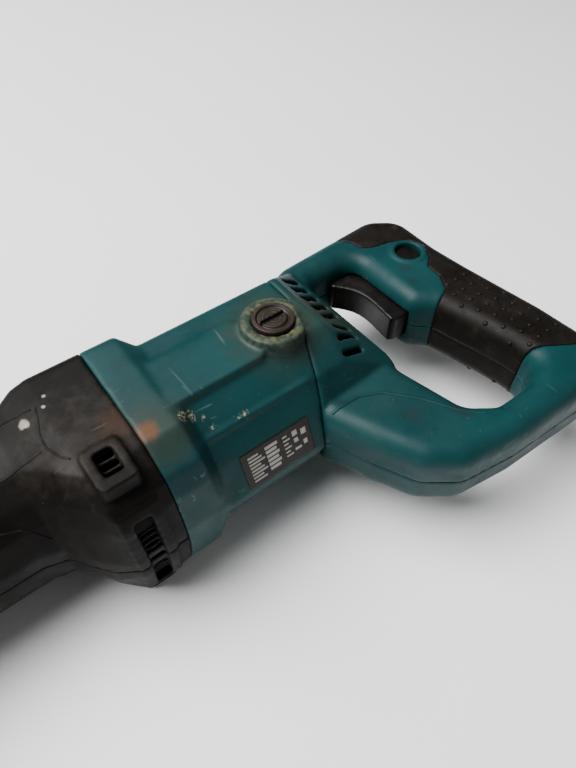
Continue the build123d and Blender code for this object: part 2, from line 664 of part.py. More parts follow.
def build_nodes():
    nodes = {}
    nodes["motor_housing"] = motor_housing()
    nodes["handle_left"], nodes["grip_left"] = handle_side(True)
    body, grip = handle_side(False)
    nodes["handle_right"] = mirrored(body)
    nodes["grip_right"] = mirrored(grip)
    cover = front_cover()
    nodes["front_cover_left"] = cover - rod_z(5.0, (0, 60), SHOE_BUTTON_X, SHOE_BUTTON_Y)
    nodes["front_cover_right"] = mirrored(cover)
    for name, solid in brush_parts().items():
        nodes[name + "_left"] = solid
        nodes[name + "_right"] = mirrored(solid)
    nodes["nameplate"] = nameplate() - nodes["motor_housing"]
    nodes["stator_core"] = stator()
    nodes["field_coils"] = field_coils()
    nodes["armature_core"] = armature_core()
    nodes["armature_windings"] = armature_windings()
    nodes["commutator"] = commutator()
    nodes["armature_shaft"] = armature_shaft()
    nodes["cooling_fan"] = fan()
    nodes["air_baffle"] = baffle()
    nodes["front_bearing"] = bearing((GEAR_X + 33, GEAR_X + 41), 14, SHAFT_R + RUN)
    nodes["rear_bearing"] = bearing((BRUSH_X + 8, BRUSH_X + 15), 11, 4 + RUN)
    nodes["bearing_cup"] = tube_x(12.8, 11, (BRUSH_X + 7.5, BRUSH_X + 15.5))
    nodes["pinion"] = pinion()
    nodes["crank_gear"] = crank_gear()
    nodes["crank_pin"] = crank_pin()
    nodes["crank_roller"] = crank_roller()
    nodes["gear_axle"] = gear_axle()
    nodes["plunger"] = plunger()
    nodes["plunger_bushing_front"] = bushing((88.5, 101))
    nodes["plunger_bushing_rear"] = bushing((124, 140))
    nodes["plunger_seal"] = bushing((83.5, 87))
    nodes["gear_housing"] = gear_housing()
    nodes["gear_housing_cover"] = gear_cover()
    nodes["gear_cover_screws"] = gear_cover_screws()
    nodes["handle_screws"] = handle_screws()
    nodes["air_divider"] = air_divider()
    nodes["switch_body"] = switch_body()
    nodes["trigger"] = trigger()
    nodes["lock_button"] = lock_button()
    nodes["lock_spring"] = lock_spring()
    nodes["blade_clamp"] = blade_clamp()
    nodes["clamp_sleeve"] = clamp_sleeve()
    nodes["clamp_pin"] = rod_z(2.5, (-7.4, 7.4), 53, PLUNGER_Y)
    nodes["blade"] = blade()
    nodes["shoe_bar"] = shoe_bar()
    nodes["shoe_foot"] = shoe_foot()
    nodes["shoe_pivot_pin"] = shoe_pivot_pin()
    nodes["shoe_button"] = shoe_button()
    nodes["shoe_button_spring"] = shoe_button_spring()
    return nodes


if __name__ == "__main__":
    os.makedirs("parts", exist_ok=True)
    for name, solid in build_nodes().items():
        export_step(solid, "parts/" + name + ".step")
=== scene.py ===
"""Looks of the reciprocating saw: moulded skins, small details, worn finishes, floor and light."""
import json
import math

import bmesh
import bpy
from mathutils import Matrix, Vector
from mathutils.bvhtree import BVHTree

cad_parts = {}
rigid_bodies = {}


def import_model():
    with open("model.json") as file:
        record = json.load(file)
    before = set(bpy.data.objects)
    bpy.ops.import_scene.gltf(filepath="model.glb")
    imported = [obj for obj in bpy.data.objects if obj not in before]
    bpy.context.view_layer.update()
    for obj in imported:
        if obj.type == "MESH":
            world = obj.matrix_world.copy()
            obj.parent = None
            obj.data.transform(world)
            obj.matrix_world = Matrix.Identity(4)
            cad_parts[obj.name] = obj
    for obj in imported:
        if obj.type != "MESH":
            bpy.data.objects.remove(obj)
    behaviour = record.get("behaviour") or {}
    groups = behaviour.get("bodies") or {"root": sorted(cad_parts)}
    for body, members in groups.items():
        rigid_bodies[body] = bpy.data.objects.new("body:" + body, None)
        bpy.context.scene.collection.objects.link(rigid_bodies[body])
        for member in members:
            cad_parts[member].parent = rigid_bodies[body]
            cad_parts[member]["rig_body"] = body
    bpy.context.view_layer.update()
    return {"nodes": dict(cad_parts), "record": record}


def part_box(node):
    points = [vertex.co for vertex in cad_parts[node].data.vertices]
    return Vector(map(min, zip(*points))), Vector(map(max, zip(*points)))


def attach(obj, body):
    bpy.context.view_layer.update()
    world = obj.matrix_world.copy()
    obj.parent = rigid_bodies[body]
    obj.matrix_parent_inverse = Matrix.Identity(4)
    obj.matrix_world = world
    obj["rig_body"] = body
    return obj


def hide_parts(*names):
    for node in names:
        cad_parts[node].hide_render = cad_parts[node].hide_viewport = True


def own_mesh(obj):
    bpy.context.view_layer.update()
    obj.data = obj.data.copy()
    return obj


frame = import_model()
nodes = frame["nodes"]

MM = 0.001
SHARP_ANGLE = math.radians(28)
CAP_LOW, CAP_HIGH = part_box("brush_cap_left")
BRUSH_X = (CAP_LOW.x + CAP_HIGH.x) / 2
SEAM_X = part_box("front_cover_left")[1].x
FLOOR_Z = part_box("brush_cap_right")[0].z


# ---------------------------------------------------------------- finishes

class Finish:
    """One procedural material, built up from noises and masks in the object's own space."""

    def __init__(self, name):
        self.material = bpy.data.materials.new(name)
        self.material.use_nodes = True
        self.tree = self.material.node_tree
        self.tree.nodes.clear()
        self.shader = self.add("ShaderNodeBsdfPrincipled")
        output = self.add("ShaderNodeOutputMaterial")
        self.tree.links.new(self.shader.outputs[0], output.inputs[0])
        self.where = self.add("ShaderNodeTexCoord").outputs["Object"]
        self.normal = None

    def add(self, kind, **settings):
        node = self.tree.nodes.new(kind)
        for key, value in settings.items():
            setattr(node, key, value)
        return node

    def feed(self, socket, value):
        if hasattr(value, "is_output"):
            self.tree.links.new(value, socket)
        elif isinstance(value, tuple) and len(value) == 3 and socket.type == "RGBA":
            socket.default_value = (*value, 1.0)
        else:
            socket.default_value = value

    def math(self, operation, a, b=0.0):
        node = self.add("ShaderNodeMath", operation=operation, use_clamp=False)
        self.feed(node.inputs[0], a)
        self.feed(node.inputs[1], b)
        return node.outputs[0]

    def noise(self, scale, detail=4.0, rough=0.55, stretch=(1, 1, 1), warp=0.0):
        place = self.add("ShaderNodeMapping")
        self.feed(place.inputs["Vector"], self.where)
        place.inputs["Scale"].default_value = stretch
        node = self.add("ShaderNodeTexNoise")
        self.feed(node.inputs["Vector"], place.outputs[0])
        node.inputs["Scale"].default_value = scale
        node.inputs["Detail"].default_value = detail
        node.inputs["Roughness"].default_value = rough
        node.inputs["Distortion"].default_value = warp
        return node.outputs[0]

    def level(self, value, low, high, out_low=0.0, out_high=1.0):
        node = self.add("ShaderNodeMapRange", interpolation_type="SMOOTHSTEP")
        for socket, number in zip(node.inputs[1:5], (low, high, out_low, out_high)):
            socket.default_value = number
        self.feed(node.inputs[0], value)
        return node.outputs[0]

    def mix(self, a, b, amount):
        node = self.add("ShaderNodeMix", data_type="RGBA")
        self.feed(node.inputs["Factor"], amount)
        self.feed(node.inputs[6], a)
        self.feed(node.inputs[7], b)
        return node.outputs[2]

    def spot(self, centre, radius, ragged=0.5):
        """1 near a point of the object, fading to 0 at the radius, with a ragged rim."""
        away = self.add("ShaderNodeVectorMath", operation="DISTANCE")
        self.feed(away.inputs[0], self.where)
        away.inputs[1].default_value = centre
        share = self.math("DIVIDE", away.outputs["Value"], radius)
        rough_rim = self.math("MULTIPLY_ADD", self.noise(260, 5, 0.65), ragged)
        rough_rim.node.inputs[2].default_value = -0.5 * ragged
        return self.level(self.math("ADD", share, rough_rim), 1.0, 0.35)

    def rounded(self, radius):
        """Softens the shading at edges, and gives a mask of those edges."""
        bevel = self.add("ShaderNodeBevel", samples=4)
        bevel.inputs["Radius"].default_value = radius
        plain = self.add("ShaderNodeNewGeometry").outputs["Normal"]
        match = self.add("ShaderNodeVectorMath", operation="DOT_PRODUCT")
        self.feed(match.inputs[0], bevel.outputs[0])
        self.feed(match.inputs[1], plain)
        self.normal = bevel.outputs[0]
        return self.level(match.outputs["Value"], 0.985, 0.86)

    def bump(self, height, strength, depth):
        node = self.add("ShaderNodeBump")
        node.inputs["Strength"].default_value = strength
        node.inputs["Distance"].default_value = depth
        self.feed(node.inputs["Height"], height)
        if self.normal is not None:
            self.feed(node.inputs["Normal"], self.normal)
        self.normal = node.outputs[0]

    def done(self, colour, roughness, metal=0.0, specular=0.5, coat=0.0):
        self.feed(self.shader.inputs["Base Color"], colour)
        self.feed(self.shader.inputs["Roughness"], roughness)
        self.feed(self.shader.inputs["Metallic"], metal)
        self.feed(self.shader.inputs["Specular IOR Level"], specular)
        self.feed(self.shader.inputs["Coat Weight"], coat)
        self.feed(self.shader.inputs["Normal"], self.normal)
        return self.material


# Marks as (x, y, z, radius) in mm: x from the seam, and for the smudges from the brush caps.
SHELL_FLECKS = ((22, -16, 37, 3.2), (18.6, -16.4, 41.2, 3.4), (25.5, -17.6, 35, 2.0),
                (27.6, -22.1, 32.1, 2.0), (41.5, -24.1, 30.6, 2.6), (39, -23.5, 31, 1.8))
SHELL_SMUDGES = ((50, -71, 20, 9), (97, 12, 19, 5), (93, 2, 19, 4), (30, -60, 18, 6))
COVER_FLECKS = ((-31.7, 15.4, 43, 2.4), (-30.6, 13.9, 43, 1.7), (-20.4, 21.6, 45.3, 1.0),
                (-22.5, 16.9, 45, 1.0))


def scratched(finish, colour, scratch, strength):
    """Adds two sets of fine scratches that run in different directions."""
    for scale, stretch in ((420, (0.12, 1.0, 0.5)), (380, (1.0, 0.10, 0.7))):
        lines = finish.noise(scale, 2, 0.4, stretch, 0.6)
        patch = finish.level(finish.noise(38, 3, 0.6), 0.46, 0.66)
        amount = finish.math("MULTIPLY", finish.level(lines, 0.69, 0.76), patch)
        colour = finish.mix(colour, scratch, finish.math("MULTIPLY", amount, strength))
    return colour


def shell_finish():
    """Petrol-green moulding, worn to satin, with dirt round the brush boss and rust by the seam."""
    f = Finish("shell")
    edge = f.rounded(0.9 * MM)
    mottle = f.level(f.noise(22, 5, 0.6), 0.3, 0.7)
    colour = f.mix((0.0012, 0.024, 0.026), (0.0024, 0.036, 0.037), mottle)
    colour = f.mix(colour, (0.0012, 0.016, 0.018), f.level(f.noise(60, 6, 0.7), 0.56, 0.75))
    colour = scratched(f, colour, (0.065, 0.110, 0.100), 0.6)
    film = f.level(f.noise(9, 4, 0.6), 0.45, 0.75, 0.0, 0.12)
    colour = f.mix(colour, (0.043, 0.048, 0.028), film)
    top = CAP_HIGH.z
    boss = f.spot((BRUSH_X, 0, top), 32 * MM, 0.7)
    colour = f.mix(colour, (0.028, 0.030, 0.014), f.math("MULTIPLY", boss, 0.5))
    ring = f.spot((BRUSH_X, 0, top), 19 * MM, 0.45)
    crumbs = f.level(f.noise(420, 4), 0.42, 0.62)
    colour = f.mix(colour, (0.100, 0.088, 0.042), f.math("MULTIPLY", ring, crumbs))
    vents = f.spot((BRUSH_X + 31 * MM, 2 * MM, 26 * MM), 24 * MM, 0.8)
    colour = f.mix(colour, (0.025, 0.028, 0.013), f.math("MULTIPLY", vents, 0.55))
    halo = f.spot((SEAM_X + 6 * MM, -17 * MM, 42 * MM), 21 * MM, 0.9)
    colour = f.mix(colour, (0.026, 0.030, 0.017), f.math("MULTIPLY", halo, 0.5))
    rust = f.spot((SEAM_X + 3.8 * MM, -16 * MM, 43.2 * MM), 6.5 * MM, 1.0)
    colour = f.mix(colour, (0.115, 0.040, 0.010), f.math("MULTIPLY", rust, 0.62))
    chipped = f.level(f.noise(700, 5, 0.75), 0.50, 0.60)
    for x, y, z, r in SHELL_FLECKS:
        fleck = f.spot((SEAM_X + x * MM, y * MM, z * MM), r * MM, 1.2)
        colour = f.mix(colour, (0.27, 0.24, 0.16), f.math("MULTIPLY", fleck, chipped))
    for x, y, z, r in SHELL_SMUDGES:
        smudge = f.spot((BRUSH_X + x * MM, y * MM, z * MM), r * MM, 1.3)
        colour = f.mix(colour, (0.008, 0.018, 0.018), f.math("MULTIPLY", smudge, 0.5))
    rubbed = f.math("MULTIPLY", edge, f.level(f.noise(130, 5), 0.45, 0.7, 0, 0.5))
    colour = f.mix(colour, (0.050, 0.110, 0.105), rubbed)
    specks = f.level(f.noise(900, 2, 0.5), 0.735, 0.77)
    colour = f.mix(colour, (0.110, 0.125, 0.100), f.math("MULTIPLY", specks, 0.6))
    rough = f.level(f.noise(45, 5, 0.7), 0.3, 0.7, 0.38, 0.60)
    f.bump(f.noise(1500, 3, 0.6), 0.16, 0.12 * MM)
    f.bump(f.noise(70, 4, 0.5), 0.12, 0.35 * MM)
    return f.done(colour, rough, specular=0.16)


def cover_finish():
    """Warm black moulding, matte, dusty near the seam and scuffed on its ridges."""
    f = Finish("cover")
    edge = f.rounded(0.9 * MM)
    mottle = f.level(f.noise(26, 5, 0.6), 0.3, 0.7)
    colour = f.mix((0.0026, 0.0020, 0.0016), (0.0058, 0.0046, 0.0036), mottle)
    colour = scratched(f, colour, (0.065, 0.060, 0.052), 0.5)
    haze = f.spot((SEAM_X - 18 * MM, -2 * MM, 44 * MM), 34 * MM, 1.0)
    dust = f.math("MULTIPLY", haze, f.level(f.noise(110, 6, 0.7), 0.35, 0.75, 0.05, 0.6))
    colour = f.mix(colour, (0.030, 0.024, 0.018), dust)
    stain = f.spot((SEAM_X - 4 * MM, -5 * MM, 43.8 * MM), 9 * MM, 1.2)
    colour = f.mix(colour, (0.050, 0.024, 0.013), f.math("MULTIPLY", stain, 0.4))
    for x, y, z, r in COVER_FLECKS:
        fleck = f.spot((SEAM_X + x * MM, y * MM, z * MM), r * MM, 1.1)
        colour = f.mix(colour, (0.30, 0.28, 0.23), f.math("MULTIPLY", fleck, 0.8))
    rubbed = f.math("MULTIPLY", edge, f.level(f.noise(150, 5), 0.4, 0.7, 0.1, 0.7))
    colour = f.mix(colour, (0.043, 0.039, 0.035), rubbed)
    specks = f.level(f.noise(1100, 2, 0.5), 0.75, 0.79)
    colour = f.mix(colour, (0.080, 0.070, 0.060), f.math("MULTIPLY", specks, 0.6))
    rough = f.level(f.noise(50, 5, 0.7), 0.3, 0.7, 0.44, 0.64)
    f.bump(f.noise(1300, 3, 0.6), 0.22, 0.15 * MM)
    f.bump(f.noise(60, 4, 0.5), 0.15, 0.35 * MM)
    return f.done(colour, rough, specular=0.09)


def dark_finish(name, low, high, rough, dust, grain, specular):
    """Dark plastic or rubber with dusty patches, rubbed edges and a fine grain."""
    f = Finish(name)
    edge = f.rounded(0.6 * MM)
    colour = f.mix(low, high, f.level(f.noise(40, 5, 0.65), 0.3, 0.7))
    colour = f.mix(colour, dust, f.level(f.noise(75, 6, 0.75), 0.52, 0.8, 0.0, 0.45))
    colour = scratched(f, colour, dust, 0.35)
    colour = f.mix(colour, dust, f.math("MULTIPLY", edge, f.level(f.noise(200, 4), 0.4, 0.7, 0.0, 0.5)))
    roughness = f.level(f.noise(80, 5, 0.7), 0.3, 0.7, rough[0], rough[1])
    f.bump(f.noise(grain, 3, 0.6), 0.25, 0.12 * MM)
    return f.done(colour, roughness, specular=specular)


def metal_finish(name, low, high, rough, brushed, tarnish):
    """Metal with turning or rolling marks, tarnished patches and bright edges."""
    f = Finish(name)
    edge = f.rounded(0.4 * MM)
    colour = f.mix(low, high, f.level(f.noise(55, 5, 0.6), 0.3, 0.7))
    colour = f.mix(colour, tarnish, f.level(f.noise(90, 6, 0.7), 0.5, 0.78, 0.0, 0.55))
    colour = f.mix(colour, high, f.math("MULTIPLY", edge, 0.6))
    roughness = f.level(f.noise(160, 5, 0.7), 0.3, 0.7, rough[0], rough[1])
    f.bump(f.noise(900, 3, 0.5, brushed), 0.18, 0.05 * MM)
    return f.done(colour, roughness, metal=f.level(f.noise(90, 6, 0.7), 0.5, 0.8, 1.0, 0.75))


def cap_finish():
    """Brown-black brush cap with turned rings, dusty in the grooves."""
    f = Finish("cap")
    f.rounded(0.4 * MM)
    split = f.add("ShaderNodeSeparateXYZ")
    f.feed(split.inputs[0], f.where)
    dx = f.math("SUBTRACT", split.outputs[0], BRUSH_X)
    dy = split.outputs[1]
    square = f.math("ADD", f.math("MULTIPLY", dx, dx), f.math("MULTIPLY", dy, dy))
    radius = f.math("SQRT", square)
    rings = f.math("SINE", f.math("MULTIPLY", radius, 3600.0))
    mottle = f.level(f.noise(120, 5, 0.65), 0.3, 0.7)
    colour = f.mix((0.009, 0.0055, 0.004), (0.020, 0.013, 0.009), mottle)
    grooves = f.level(rings, 0.0, -0.9)
    dust = f.math("MULTIPLY", grooves, f.level(f.noise(200, 5), 0.4, 0.7, 0.1, 0.7))
    colour = f.mix(colour, (0.045, 0.038, 0.020), dust)
    f.bump(f.level(rings, -0.6, 0.6), 0.3, 0.25 * MM)
    f.bump(f.noise(1400, 3, 0.6), 0.2, 0.1 * MM)
    return f.done(colour, f.level(f.noise(90, 4), 0.3, 0.7, 0.34, 0.52), specular=0.25)


def felt_finish():
    """Oiled felt ring with short fibres."""
    f = Finish("felt")
    colour = f.mix((0.14, 0.11, 0.075), (0.26, 0.22, 0.16), f.noise(900, 6, 0.8, (1, 0.3, 0.6), 1.2))
    f.bump(f.noise(2400, 4, 0.8, (1, 0.3, 0.6), 1.5), 0.6, 0.2 * MM)
    return f.done(colour, 0.95, specular=0.15)


# Per slot: low and high colour, roughness range, dust colour, grain scale, specular.
DARK_FINISHES = {
    "soft_grip": ((0.0035, 0.0027, 0.0019), (0.0075, 0.0058, 0.0042), (0.42, 0.60),
                  (0.035, 0.028, 0.022), 1500, 0.13),
    "control": ((0.0025, 0.0022, 0.0020), (0.006, 0.0053, 0.0048), (0.26, 0.42),
                (0.035, 0.03, 0.026), 1800, 0.18),
    "plate": ((0.0080, 0.0058, 0.0046), (0.018, 0.0135, 0.0105), (0.36, 0.52),
              (0.06, 0.052, 0.042), 1200, 0.2),
    "print": ((0.24, 0.23, 0.205), (0.38, 0.365, 0.33), (0.45, 0.6),
              (0.14, 0.12, 0.10), 1500, 0.35),
    "carbon": ((0.012, 0.012, 0.013), (0.03, 0.03, 0.032), (0.45, 0.6),
               (0.06, 0.06, 0.06), 2200, 0.4),
    "rubber": ((0.010, 0.010, 0.010), (0.02, 0.02, 0.02), (0.6, 0.8),
               (0.06, 0.055, 0.05), 1300, 0.4),
    "inner_plastic": ((0.03, 0.03, 0.03), (0.06, 0.06, 0.058), (0.45, 0.6),
                      (0.14, 0.13, 0.12), 1500, 0.4),
}

# Per slot: low and high colour, roughness range, direction of the marks, tarnish colour.
METAL_FINISHES = {
    "aluminium": ((0.26, 0.26, 0.256), (0.42, 0.42, 0.415), (0.42, 0.6), (1, 1, 1),
                  (0.20, 0.19, 0.175)),
    "steel": ((0.17, 0.17, 0.175), (0.32, 0.32, 0.325), (0.30, 0.48), (0.1, 1, 1),
              (0.16, 0.13, 0.10)),
    "black_steel": ((0.028, 0.028, 0.031), (0.10, 0.10, 0.105), (0.35, 0.52), (0.2, 1, 1),
                    (0.10, 0.065, 0.045)),
    "blade_steel": ((0.20, 0.20, 0.195), (0.36, 0.36, 0.35), (0.34, 0.52), (0.08, 1, 1),
                    (0.26, 0.20, 0.15)),
    "brass": ((0.46, 0.30, 0.11), (0.70, 0.50, 0.22), (0.25, 0.42), (0.2, 1, 1),
              (0.20, 0.13, 0.06)),
    "copper": ((0.40, 0.16, 0.075), (0.62, 0.28, 0.14), (0.28, 0.45), (1, 0.15, 1),
               (0.17, 0.07, 0.04)),
    "lamination": ((0.10, 0.10, 0.105), (0.20, 0.20, 0.205), (0.4, 0.58), (6, 0.2, 0.2),
                   (0.10, 0.07, 0.05)),
}


def make_finishes():
    """The finish of every material slot."""
    done = {
        "shell": shell_finish(),
        "cover": cover_finish(),
        "cap": cap_finish(),
        "felt": felt_finish(),
    }
    for slot, row in DARK_FINISHES.items():
        done[slot] = dark_finish(slot, *row)
    for slot, row in METAL_FINISHES.items():
        done[slot] = metal_finish(slot, *row)
    return done


finishes = make_finishes()
slot_of = {part["node"]: part["material_slot"] for part in frame["record"]["subparts"]}


def paint(piece, slot):
    """Gives a piece the finish of a material slot."""
    piece.data.materials.clear()
    piece.data.materials.append(finishes[slot])


# ---------------------------------------------------------------- moulded skins

def add_object(name, mesh):
    """A new object in the scene."""
    piece = bpy.data.objects.new(name, mesh)
    bpy.context.scene.collection.objects.link(piece)
    return piece


def smooth_shaded(mesh):
    """Shades every face smoothly."""
    mesh.polygons.foreach_set("use_smooth", [True] * len(mesh.polygons))


def welded_copy(node):
    """A copy of a CAD node's mesh with its split vertices joined."""
    mesh = nodes[node].data.copy()
    work = bmesh.new()
    work.from_mesh(mesh)
    bmesh.ops.remove_doubles(work, verts=work.verts, dist=0.002 * MM)
    work.to_mesh(mesh)
    work.free()
    return mesh


# Closes the thin rim between one cooling slot and the hand opening: x from the brush caps, y, z and
# radius, in mm.
FILLS = {"handle_left": (38.7, 5.0, 18.7, 3.3), "handle_right": (38.7, 5.0, -18.7, 3.3)}


def filled(mesh, x, y, z, radius):
    """Adds a ball of material to a mesh that is about to be remeshed."""
    work = bmesh.new()
    work.from_mesh(mesh)
    place = Matrix.Translation((BRUSH_X + x * MM, y * MM, z * MM))
    bmesh.ops.create_icosphere(work, subdivisions=3, radius=radius * MM, matrix=place)
    work.to_mesh(mesh)
    work.free()


def moulded(node, cell, passes):
    """A skin for a CAD node whose sharp edges are melted to the radii a mould leaves."""
    rough = add_object(node + "_rough", welded_copy(node))
    if node in FILLS:
        filled(rough.data, *FILLS[node])
    melt = rough.modifiers.new("melt", "REMESH")
    melt.mode = "VOXEL"
    melt.voxel_size = cell
    ease = rough.modifiers.new("ease", "SMOOTH")
    ease.factor = 0.5
    ease.iterations = passes
    graph = bpy.context.evaluated_depsgraph_get()
    mesh = bpy.data.meshes.new_from_object(rough.evaluated_get(graph))
    bpy.data.objects.remove(rough)
    smooth_shaded(mesh)
    skin = add_object(node + "_skin", mesh)
    paint(skin, slot_of[node])
    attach(skin, nodes[node]["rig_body"])
    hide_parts(node)
    return skin


for name, node in nodes.items():
    paint(node, slot_of[name])
    smooth_shaded(node.data)
    node.data.set_sharp_from_angle(angle=SHARP_ANGLE)

# Per moulding: cell of the skin in mm, and passes of smoothing.
MOULDINGS = (
    ("motor_housing", 0.95, 5), ("handle_left", 0.85, 5), ("handle_right", 0.85, 5),
    ("grip_left", 0.7, 7), ("grip_right", 0.7, 7), ("front_cover_left", 0.75, 5),
    ("front_cover_right", 0.75, 5), ("trigger", 0.6, 8), ("brush_cap_left", 0.35, 2),
    ("brush_cap_right", 0.35, 2), ("lock_button", 0.35, 3), ("shoe_button", 0.35, 4))

skins = {name: moulded(name, cell * MM, passes) for name, cell, passes in MOULDINGS}


# ---------------------------------------------------------------- details on the skins

def surface_tree(*names):
    """Search tree over several skins."""
    verts, faces = [], []
    for name in names:
        mesh = skins[name].data
        start = len(verts)
        verts += [v.co.copy() for v in mesh.vertices]
        faces += [[start + i for i in p.vertices] for p in mesh.polygons]
    return BVHTree.FromPolygons(verts, faces)


DOT_ROWS, DOT_COLUMNS = 8, 4
DOT_START_X, DOT_START_Y = 98.5, -11
DOT_ROW_STEP, DOT_COLUMN_STEP = 7.6, 6.8
DOT_RADIUS, DOT_HEIGHT = 1.3, 0.7


def grip_dots(side):
    """Raised dots in staggered rows on one grip moulding."""
    name = "grip_left" if side > 0 else "grip_right"
    tree = surface_tree(name)
    work = bmesh.new()
    for row in range(DOT_ROWS):
        y = (DOT_START_Y - DOT_ROW_STEP * row) * MM
        stagger = 3.4 * (row % 2)
        lean = 0.5 * row
        for column in range(DOT_COLUMNS):
            x = BRUSH_X + (DOT_START_X + stagger + DOT_COLUMN_STEP * column + lean) * MM
            hit, normal, _, _ = tree.ray_cast(Vector((x, y, side * 60 * MM)), Vector((0, 0, -side)))
            if hit is None or abs(hit.z) < 9 * MM or normal.z * side < 0.30:
                continue
            turn = normal.to_track_quat("Z", "Y").to_matrix().to_4x4()
            shape = Matrix.Diagonal((DOT_RADIUS * MM, DOT_RADIUS * MM, DOT_HEIGHT * MM, 1.0))
            place = Matrix.Translation(hit) @ turn @ shape
            bmesh.ops.create_icosphere(work, subdivisions=3, radius=1.0, matrix=place)
    mesh = bpy.data.meshes.new(name + "_dots")
    work.to_mesh(mesh)
    work.free()
    smooth_shaded(mesh)
    dots = add_object(name + "_dots", mesh)
    paint(dots, "soft_grip")
    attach(dots, "housing")
    return dots


BEAD_STEPS = 8


def bead(name, points, surfaces, radius, side, sink, slot):
    """A thin raised line laid over the skins through (x, y) points."""
    tree = surface_tree(*surfaces)
    path = []
    for (x0, y0), (x1, y1) in zip(points, points[1:]):
        for step in range(BEAD_STEPS):
            share = step / BEAD_STEPS
            x, y = x0 + (x1 - x0) * share, y0 + (y1 - y0) * share
            hit, normal, _, _ = tree.ray_cast(Vector((x, y, side * 80 * MM)), Vector((0, 0, -side)))
            if hit is not None:
                path.append(hit - normal * sink)
    curve = bpy.data.curves.new(name, "CURVE")
    curve.dimensions = "3D"
    curve.bevel_depth = radius
    curve.bevel_resolution = 3
    curve.use_fill_caps = True
    line = curve.splines.new("NURBS")
    line.points.add(len(path) - 1)
    for point, place in zip(line.points, path):
        point.co = (*place, 1.0)
    line.use_endpoint_u = True
    line.order_u = 4
    temporary = add_object(name + "_path", curve)
    graph = bpy.context.evaluated_depsgraph_get()
    mesh = bpy.data.meshes.new_from_object(temporary.evaluated_get(graph))
    bpy.data.objects.remove(temporary)
    smooth_shaded(mesh)
    piece = add_object(name, mesh)
    paint(piece, slot)
    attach(piece, "housing")
    return piece


def plate_print():
    """Blank pale bars on the rating plate."""
    plate = nodes["nameplate"]
    low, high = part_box("nameplate")
    normals = [(p.area, p.normal.copy()) for p in plate.data.polygons]
    outward = max(normals, key=lambda pair: (pair[1].y < -0.5) * pair[0])[1]
    across = Vector((1, 0, 0))
    down = across.cross(outward)
    if down.z > 0:
        down = -down
    middle = Vector(((low.x + high.x) / 2, 0, 0))
    reach = max(v.co.dot(outward) for v in plate.data.vertices)
    face = [v.co for v in plate.data.vertices if v.co.dot(outward) > reach - 0.05 * MM]
    middle.y = (min(p.y for p in face) + max(p.y for p in face)) / 2
    middle.z = (min(p.z for p in face) + max(p.z for p in face)) / 2
    bars = [(-14.5, -6.0 + 1.75 * row, 5.2 + 1.3 * (row % 3), 0.95) for row in range(8)]
    bars += [(-5.8, -6.0 + 2.2 * row, 6.4 - 0.9 * (row % 2), 1.5) for row in range(6)]
    bars += [(3.2, -5.8 + 2.0 * row, 2.4 + 1.1 * (row % 2), 0.8) for row in range(6)]
    bars += [(8.2, -5.0, 2.6, 2.6), (8.4, -1.2, 2.2, 2.2), (8.0, 3.2, 3.4, 1.2)]
    bars += [(12.6, -3.6, 2.6, 3.0), (12.8, 2.0, 2.0, 2.4)]
    work = bmesh.new()
    for x, y, length, height in bars:
        corners = []
        for sx, sy in ((0, -0.5), (1, -0.5), (1, 0.5), (0, 0.5)):
            spot = middle + across * ((x + sx * length) * MM) + down * ((y + sy * height) * MM)
            corners.append(work.verts.new(spot + outward * 0.04 * MM))
        work.faces.new(corners)
    bmesh.ops.recalc_face_normals(work, faces=work.faces)
    flat = list(work.faces)
    bmesh.ops.solidify(work, geom=flat, thickness=0.05 * MM)
    mesh = bpy.data.meshes.new("plate_print")
    work.to_mesh(mesh)
    work.free()
    print_piece = add_object("plate_print", mesh)
    paint(print_piece, "print")
    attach(print_piece, "housing")


def placed(origin_x, *points):
    """Points in mm, with x counted from an origin, as metres."""
    return [(origin_x + x * MM, y * MM) for x, y in points]


SCREEN_COLUMNS, SCREEN_ROWS = 26, 60
SCREEN_START_X, SCREEN_START_Y, SCREEN_Z = 19, -28, 12.5
SCREEN_WAVE, SCREEN_THICKNESS = 0.15, 0.4


def slot_screen(side):
    """Dark gauze with a 1 mm mesh behind the cooling slots of one side."""
    work = bmesh.new()
    for column in range(SCREEN_COLUMNS + 1):
        x = BRUSH_X + (SCREEN_START_X + column) * MM
        for row in range(SCREEN_ROWS + 1):
            y = (SCREEN_START_Y + row) * MM
            wave = SCREEN_WAVE * ((row + column) % 2)
            work.verts.new((x, y, side * (SCREEN_Z + wave) * MM))
    work.verts.ensure_lookup_table()
    for column in range(SCREEN_COLUMNS):
        for row in range(SCREEN_ROWS):
            a = column * (SCREEN_ROWS + 1) + row
            b = a + SCREEN_ROWS + 1
            work.faces.new([work.verts[i] for i in (a, b, b + 1, a + 1)])
    bmesh.ops.solidify(work, geom=list(work.faces), thickness=SCREEN_THICKNESS * MM)
    name = "slot_screen_left" if side > 0 else "slot_screen_right"
    mesh = bpy.data.meshes.new(name)
    work.to_mesh(mesh)
    work.free()
    screen = add_object(name, mesh)
    paint(screen, "inner_plastic")
    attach(screen, "housing")


STEPS_PER_TURN = 28
WIRE_SIDES = 8


